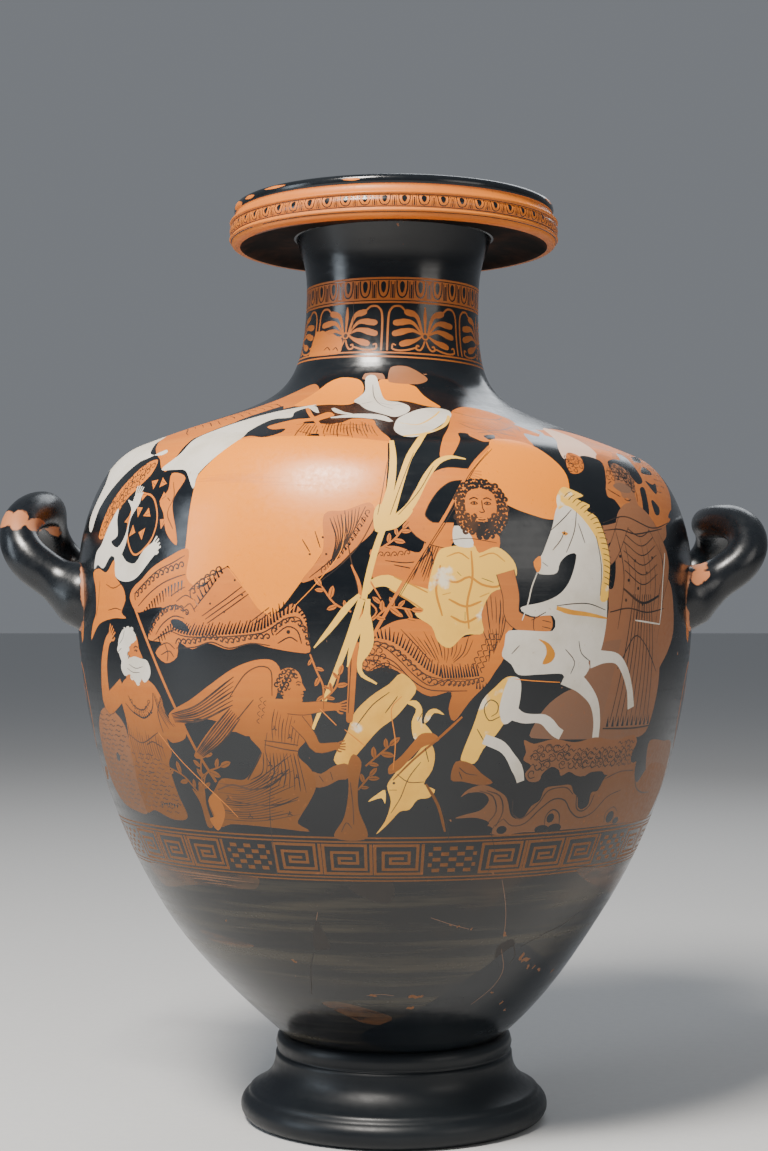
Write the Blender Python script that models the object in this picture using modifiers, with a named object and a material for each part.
"""Hydria: a water jar turned in clay, with two side handles, a back handle and a moulded lip and foot.

Metres, +Z up. The jar stands on the ring of its foot at z = 0. The belly's axis is the Z axis,
the painted front faces -Y, the side handles lie on +X and -X, and the back handle is on +Y.
"""
import math

import bmesh
import bpy
import numpy as np
from mathutils import Vector

# Driving sizes of the turned jar
HEIGHT = 0.500
BELLY_RADIUS = 0.1680
BELLY_LEVEL = 0.290
SHOULDER_RADIUS = 0.1380
SHOULDER_LEVEL = 0.3620
SHOULDER_SLOPE = math.radians(23)
NECK_RADIUS = 0.0474
NECK_LEVEL = 0.449
NECK_TOP_RADIUS = 0.0538
TAPER_LEAN = math.radians(49)
WALL = 0.006
FLOOR_THICKNESS = 0.010

# Fullness of the body's curves, as shares of the height that each one spans
NECK_FLARE = 0.47
NECK_WAIST = 0.45
THROAT_HOLLOW = 0.75
SHOULDER_FULLNESS = 0.92
SHOULDER_TURN = 0.25
BELLY_FULLNESS = 0.50
TAPER_FULLNESS = 0.48
TAPER_FOOT = 0.30

# Lip: a flat overhanging mouth plate with a black upper moulding and an egg moulding below it
LIP_RADIUS = 0.0905
LIP_HEIGHT = 0.0230
LIP_OVERHANG_DEPTH = 0.0070
UPPER_MOULDING_HEIGHT = 0.0050
UPPER_MOULDING_INSET = 0.0026
MOULDING_GROOVE = 0.0009
FILLET_LEVEL = 0.0105
LOWER_BEAD_LEVEL = 0.0190
LIP_EDGE = 0.0048

# Foot: a small bead under the body, a hollow flare and a round rim
FOOT_HEIGHT = 0.046
FOOT_TOP_RADIUS = 0.0600
FOOT_BEAD_RADIUS = 0.0649
FOOT_BEAD_HEIGHT = 0.0095
FOOT_RADIUS = 0.0842
FOOT_RIM_HEIGHT = 0.0150
FOOT_STEP = 0.0006
RECESS_RADIUS = 0.0620
RECESS_TOP_RADIUS = 0.0480

# Side handles: two legs rise outwards from the belly, and the loop between them curls up and back in
HANDLE_ROOT_RADIUS = 0.0172
HANDLE_LEG_RADIUS = 0.0113
HANDLE_BAR_RADIUS = 0.0098
HANDLE_HALF_SPAN = 0.0500
HANDLE_ROOT_LEVEL = 0.2865
HANDLE_ROOT_LENGTH = 0.0200
HANDLE_HOOK_LENGTH = 0.0635
HANDLE_RISE = math.radians(29.5)
RIGHT_HANDLE_CURL = math.radians(186)
LEFT_HANDLE_CURL = math.radians(146)
HANDLE_LOOP_DEPTH = 0.0360
HANDLE_SETBACK = math.radians(3)

# Back handle, from under the lip down to the shoulder
BACK_BAR_RADIUS = 0.0095
BACK_ROOT_RADIUS = 0.0120
BACK_NECK_LEVEL = 0.4480
BACK_RISE = 0.0080
BACK_REACH = 0.1120
BACK_FOOT_RADIUS = 0.1080

# The jar is a little out of true: lip and foot stand off the belly's axis, and the shoulder tips to one side
LIP_OFFSET = 0.0049
LIP_OFFSET_FROM = 0.285
FOOT_OFFSET = 0.0049
FOOT_OFFSET_TO = 0.115
SHOULDER_TILT = 0.029
TILT_FROM = 0.270
TILT_FULL = 0.410
TILT_TO = 0.460

TURN_STEPS = 48
BODY_POINTS = (4, 8, 6, 11)
INNER_POINTS = (3, 6, 4, 7)
FINE_POINTS = (30, 60, 40, 80)
HANDLE_ROUNDNESS = 3
HANDLE_SMOOTHNESS = 3
LOOP_STATIONS = 9


def bezier(start, start_handle, end_handle, end, count):
    """Points of a cubic curve, with both ends."""
    share = np.linspace(0.0, 1.0, count)[:, None]
    rest = 1.0 - share
    return (rest**3 * start + 3 * rest**2 * share * start_handle
            + 3 * rest * share**2 * end_handle + share**3 * end)


def arc(centre, radius, start, end, count):
    """Points of a circle from one angle to another, angles in degrees from +r towards +z."""
    angles = np.radians(np.linspace(start, end, count))
    return np.stack([centre[0] + radius * np.cos(angles), centre[1] + radius * np.sin(angles)], axis=1)


def point(radius, level):
    return np.array([radius, level])


def body_curve(counts=BODY_POINTS):
    """Outer side of neck and body from the lip's underside down to the foot, as (radius, level)."""
    neck_top = point(NECK_TOP_RADIUS, HEIGHT - LIP_HEIGHT + LIP_OVERHANG_DEPTH * 0.72)
    waist = point(NECK_RADIUS, NECK_LEVEL)
    shoulder = point(SHOULDER_RADIUS, SHOULDER_LEVEL)
    belly = point(BELLY_RADIUS, BELLY_LEVEL)
    foot = point(FOOT_TOP_RADIUS, FOOT_HEIGHT)
    slope = point(math.cos(SHOULDER_SLOPE), -math.sin(SHOULDER_SLOPE))
    neck_length = neck_top[1] - waist[1]
    sweep = waist[1] - shoulder[1]
    shoulder_drop = shoulder[1] - belly[1]
    taper_drop = belly[1] - foot[1]
    neck = bezier(neck_top, neck_top - NECK_FLARE * neck_length * point(0.34, 0.94),
                  waist + point(0.0, NECK_WAIST * neck_length), waist, counts[0])
    throat = bezier(waist, waist - point(0.0, THROAT_HOLLOW * sweep),
                    shoulder - SHOULDER_FULLNESS * sweep * slope, shoulder, counts[1])
    turn = bezier(shoulder, shoulder + SHOULDER_TURN * shoulder_drop * slope,
                  belly + point(0.0, BELLY_FULLNESS * shoulder_drop), belly, counts[2])
    lean = point(math.sin(TAPER_LEAN), math.cos(TAPER_LEAN))
    taper = bezier(belly, belly - point(0.0, TAPER_FULLNESS * taper_drop),
                   foot + TAPER_FOOT * taper_drop * lean, foot, counts[3])
    return np.concatenate([neck, throat[1:], turn[1:], taper[1:]])


def offset_inwards(curve, distance):
    """The curve moved square to itself, towards the inside of the jar."""
    tangent = np.gradient(curve, axis=0)
    tangent /= np.linalg.norm(tangent, axis=1)[:, None]
    normal = np.stack([tangent[:, 1], -tangent[:, 0]], axis=1)
    return curve + distance * normal


def lip_outline():
    """Outer side of the lip from its top edge to the joint with the neck."""
    top, edge = HEIGHT, LIP_RADIUS
    low = top - LIP_HEIGHT
    band = edge - UPPER_MOULDING_INSET
    band_low = top - UPPER_MOULDING_HEIGHT
    fillet = top - FILLET_LEVEL
    bead = top - LOWER_BEAD_LEVEL
    outline = [
        (band - 0.0026, top), (band - 0.0004, top - 0.0009), (band, band_low + 0.0004),
        (band - MOULDING_GROOVE, band_low - 0.0004), (edge - 0.0020, fillet + 0.0014),
        (edge - 0.0004, fillet), (edge - 0.0012, fillet - 0.0009),
        (edge - 0.0002, (fillet + bead) / 2), (edge - 0.0012, bead + 0.0010),
        (edge, bead), (edge - 0.0016, low + 0.0010), (edge - LIP_EDGE, low),
        (edge - LIP_EDGE - 0.0040, low + 0.0012),
        ((edge + NECK_TOP_RADIUS) / 2, low + LIP_OVERHANG_DEPTH * 0.80),
        (NECK_TOP_RADIUS + 0.0070, low + LIP_OVERHANG_DEPTH),
    ]
    return np.array(outline)


def mouth_outline(inner_neck_top):
    """The top of the lip, from the inside of the neck out to the rim."""
    rim = point(LIP_RADIUS - UPPER_MOULDING_INSET - 0.0052, HEIGHT - 0.0002)
    reach = rim[0] - inner_neck_top[0]
    rise = rim[1] - inner_neck_top[1]
    return bezier(inner_neck_top, inner_neck_top + point(0.12 * reach, 0.60 * rise),
                  rim - point(0.55 * reach, 0.10 * rise), rim, 6)


def foot_outline():
    """Outer side of the foot from the bead to the standing ring, then the recess under it."""
    rim_arc = FOOT_RIM_HEIGHT / 2
    rim_centre = point(FOOT_RADIUS - rim_arc, rim_arc)
    bead_half = FOOT_BEAD_HEIGHT / 2
    bead_level = FOOT_HEIGHT - bead_half
    bead = [(FOOT_BEAD_RADIUS - 0.0016, FOOT_HEIGHT - 0.0006), (FOOT_BEAD_RADIUS, bead_level),
            (FOOT_BEAD_RADIUS - 0.0010, FOOT_HEIGHT - FOOT_BEAD_HEIGHT)]
    flare_top = point(FOOT_BEAD_RADIUS + 0.0003, FOOT_HEIGHT - FOOT_BEAD_HEIGHT - 0.0006)
    flare_low = point(rim_centre[0] + rim_arc * 0.34, FOOT_RIM_HEIGHT + FOOT_STEP)
    drop = flare_top[1] - flare_low[1]
    flare = bezier(flare_top, flare_top - point(0.0, 0.45 * drop),
                   flare_low - point(0.52, -0.48) * 0.55 * drop, flare_low, 6)
    rim = arc(rim_centre, rim_arc, 62, -90, 7)
    ceiling = floor_level() - FLOOR_THICKNESS
    recess = bezier(point(RECESS_RADIUS, 0.0), point(RECESS_RADIUS - 0.004, ceiling * 0.45),
                    point(RECESS_TOP_RADIUS + 0.003, ceiling * 0.95), point(RECESS_TOP_RADIUS * 0.72, ceiling), 5)
    return np.concatenate([bead, flare, rim, recess])


def inner_wall(distance, counts=INNER_POINTS):
    """Inside of neck and body at a distance from the outer side, lip to floor."""
    return offset_inwards(body_curve(counts), distance)


def floor_level():
    return float(inner_wall(WALL)[-1][1])


def jar_profile():
    """Half section of the jar: floor, inner wall, lip, outer wall, foot, recess."""
    inside = inner_wall(WALL)[::-1]
    floor = point(0.0, inside[0][1])
    outside = body_curve()
    under = foot_outline()
    ceiling = point(0.0, under[-1][1])
    return np.concatenate([[floor], inside, mouth_outline(inside[-1])[1:], lip_outline(), outside, under, [ceiling]])


def root_trimmer_profile():
    """A plug that fills the jar up to the middle of its wall, to trim the handles' ends."""
    middle = inner_wall(WALL / 2)
    return np.concatenate([[point(0.0, HEIGHT)], [point(middle[0][0], HEIGHT)], middle, [point(0.0, middle[-1][1])]])


def collection(name):
    group = bpy.data.collections.new(name)
    bpy.context.scene.collection.children.link(group)
    return group


def clear_scene():
    for old in list(bpy.data.objects):
        bpy.data.objects.remove(old, do_unlink=True)
    for old in list(bpy.data.collections):
        bpy.data.collections.remove(old)


def turned(name, profile, group):
    """A solid of revolution about Z, from a profile at +X and a Screw modifier."""
    mesh = bpy.data.meshes.new(name)
    edges = [(i, i + 1) for i in range(len(profile) - 1)]
    mesh.from_pydata([(float(radius), 0.0, float(level)) for radius, level in profile], edges, [])
    solid = bpy.data.objects.new(name, mesh)
    group.objects.link(solid)
    screw = solid.modifiers.new("turn", "SCREW")
    screw.axis = "Z"
    screw.steps = TURN_STEPS
    screw.render_steps = TURN_STEPS
    screw.use_merge_vertices = True
    screw.merge_threshold = 0.00001
    return solid


def evaluated_mesh(solid):
    bpy.context.view_layer.update()
    graph = bpy.context.evaluated_depsgraph_get()
    return bpy.data.meshes.new_from_object(solid.evaluated_get(graph), depsgraph=graph)


def handle_tube(name, stations, group):
    """A round bar along (position, radius) stations, as a closed mesh."""
    curve = bpy.data.curves.new(name, "CURVE")
    curve.dimensions = "3D"
    curve.bevel_depth = 1.0
    curve.bevel_resolution = HANDLE_ROUNDNESS
    curve.use_fill_caps = True
    curve.resolution_u = HANDLE_SMOOTHNESS
    spline = curve.splines.new("BEZIER")
    spline.bezier_points.add(len(stations) - 1)
    for knot, (position, radius) in zip(spline.bezier_points, stations):
        knot.co = position
        knot.radius = radius
        knot.handle_left_type = "AUTO"
        knot.handle_right_type = "AUTO"
    guide = bpy.data.objects.new(name + "_curve", curve)
    group.objects.link(guide)
    mesh = evaluated_mesh(guide)
    form = bmesh.new()
    form.from_mesh(mesh)
    bmesh.ops.remove_doubles(form, verts=form.verts, dist=0.00001)
    form.to_mesh(mesh)
    form.free()
    bar = bpy.data.objects.new(name, mesh)
    bar.matrix_world = guide.matrix_world
    group.objects.link(bar)
    bpy.data.objects.remove(guide, do_unlink=True)
    return bar


def radius_at(level):
    curve = body_curve(FINE_POINTS)[::-1]
    return float(np.interp(level, curve[:, 1], curve[:, 0]))


def level_at(radius):
    """Height of the shoulder at a radius between the neck and the shoulder's turn."""
    curve = body_curve(FINE_POINTS)
    sweep = curve[(curve[:, 1] < NECK_LEVEL) & (curve[:, 1] > BELLY_LEVEL)]
    return float(np.interp(radius, sweep[:, 0], sweep[:, 1]))


def hook(distance, curl):
    """Outward shift and rise at a distance from the wall along a handle that curls more and more."""
    if distance <= 0.0:
        return distance * math.cos(HANDLE_RISE), distance * math.sin(HANDLE_RISE)
    steps = np.linspace(0.0, distance, 60)
    middles = (steps[1:] + steps[:-1]) / 2
    headings = HANDLE_RISE + (curl - HANDLE_RISE) * (middles / HANDLE_HOOK_LENGTH) ** 3
    length = steps[1] - steps[0]
    return float(np.cos(headings).sum() * length), float(np.sin(headings).sum() * length)


def side_handle_stations(side, curl):
    """Centre line of a side handle, a flat loop of two legs and a half ellipse laid over the hook."""
    root_x = math.sqrt(radius_at(HANDLE_ROOT_LEVEL) ** 2 - HANDLE_HALF_SPAN**2)
    leg = HANDLE_HOOK_LENGTH - HANDLE_LOOP_DEPTH
    line = [(-2.5 * WALL, -1.0), (0.0, -1.0), (0.5 * leg, -1.0)]
    for index in range(LOOP_STATIONS):
        angle = math.pi * (index / (LOOP_STATIONS - 1) - 0.5)
        line.append((leg + HANDLE_LOOP_DEPTH * math.cos(angle), math.sin(angle)))
    line += [(0.5 * leg, 1.0), (0.0, 1.0), (-2.5 * WALL, 1.0)]
    stations = []
    for distance, sideways in line:
        out, up = hook(distance, curl)
        x = root_x + out
        y = HANDLE_HALF_SPAN * sideways
        root_share = max(1.0 - max(distance, 0.0) / HANDLE_ROOT_LENGTH, 0.0)
        loop_share = max(distance - leg, 0.0) / HANDLE_LOOP_DEPTH
        radius = HANDLE_LEG_RADIUS + (HANDLE_ROOT_RADIUS - HANDLE_LEG_RADIUS) * root_share**2
        radius += (HANDLE_BAR_RADIUS - HANDLE_LEG_RADIUS) * loop_share
        turned_x = x * math.cos(HANDLE_SETBACK) - y * math.sin(HANDLE_SETBACK)
        turned_y = x * math.sin(HANDLE_SETBACK) + y * math.cos(HANDLE_SETBACK)
        stations.append((Vector((side * turned_x, turned_y, HANDLE_ROOT_LEVEL + up)), radius))
    return stations


def back_handle_stations():
    """Centre line of the back handle, from the neck over and down to the shoulder."""
    neck = radius_at(BACK_NECK_LEVEL)
    foot_level = level_at(BACK_FOOT_RADIUS)
    crown = BACK_NECK_LEVEL + BACK_RISE
    drop = crown - foot_level
    line = [
        ((0.0, neck - WALL * 0.7, BACK_NECK_LEVEL - 0.002), BACK_ROOT_RADIUS),
        ((0.0, neck + 0.35 * (BACK_REACH - neck), crown), BACK_BAR_RADIUS),
        ((0.0, neck + 0.82 * (BACK_REACH - neck), crown - 0.14 * drop), BACK_BAR_RADIUS),
        ((0.0, BACK_REACH, crown - 0.52 * drop), BACK_BAR_RADIUS),
        ((0.0, BACK_FOOT_RADIUS, foot_level - WALL * 0.5), BACK_ROOT_RADIUS * 1.1),
    ]
    return [(Vector(position), radius) for position, radius in line]


def boolean(target, tool, operation):
    cut = target.modifiers.new(operation.lower(), "BOOLEAN")
    cut.operation = operation
    cut.solver = "EXACT"
    cut.object = tool


def hide_guide(guide):
    guide.hide_render = True
    guide.display_type = "WIRE"


def smooth_step(low, high, value):
    share = min(max((value - low) / (high - low), 0.0), 1.0)
    return share * share * (3.0 - 2.0 * share)


def out_of_true(position):
    """Where a point of the true jar lies on this one."""
    x, y, z = position
    foot_share = 1.0 - smooth_step(FOOT_HEIGHT, FOOT_OFFSET_TO, z)
    lip_share = smooth_step(LIP_OFFSET_FROM, HEIGHT, z)
    tilt = SHOULDER_TILT * smooth_step(TILT_FROM, TILT_FULL, z) * (1.0 - smooth_step(TILT_FULL, TILT_TO, z))
    return Vector((x + FOOT_OFFSET * foot_share + LIP_OFFSET * lip_share, y, z - tilt * x))


def ceramic(name):
    material = bpy.data.materials.new(name)
    material.use_nodes = True
    shader = material.node_tree.nodes["Principled BSDF"]
    shader.inputs["Base Color"].default_value = (0.045, 0.040, 0.040, 1.0)
    shader.inputs["Roughness"].default_value = 0.28
    shader.inputs["Metallic"].default_value = 0.0
    return material


def build():
    clear_scene()
    parts = collection("hydria_parts")
    guides = collection("guides")
    vessel = turned("turned_jar", jar_profile(), guides)
    trimmer = turned("root_trimmer", root_trimmer_profile(), guides)
    handles = [
        handle_tube("right_handle", side_handle_stations(1, RIGHT_HANDLE_CURL), guides),
        handle_tube("left_handle", side_handle_stations(-1, LEFT_HANDLE_CURL), guides),
        handle_tube("back_handle", back_handle_stations(), guides),
    ]
    for handle in handles:
        boolean(handle, trimmer, "DIFFERENCE")
        boolean(vessel, handle, "UNION")
    mesh = evaluated_mesh(vessel)
    mesh.name = "hydria"
    for vertex in mesh.vertices:
        vertex.co = out_of_true(vertex.co)
    mesh.shade_smooth()
    mesh.set_sharp_from_angle(angle=math.radians(35))
    hydria = bpy.data.objects.new("hydria", mesh)
    hydria.data.materials.clear()
    hydria.data.materials.append(ceramic("black_gloss_ceramic"))
    parts.objects.link(hydria)
    for guide in [vessel, trimmer] + handles:
        hide_guide(guide)


build()
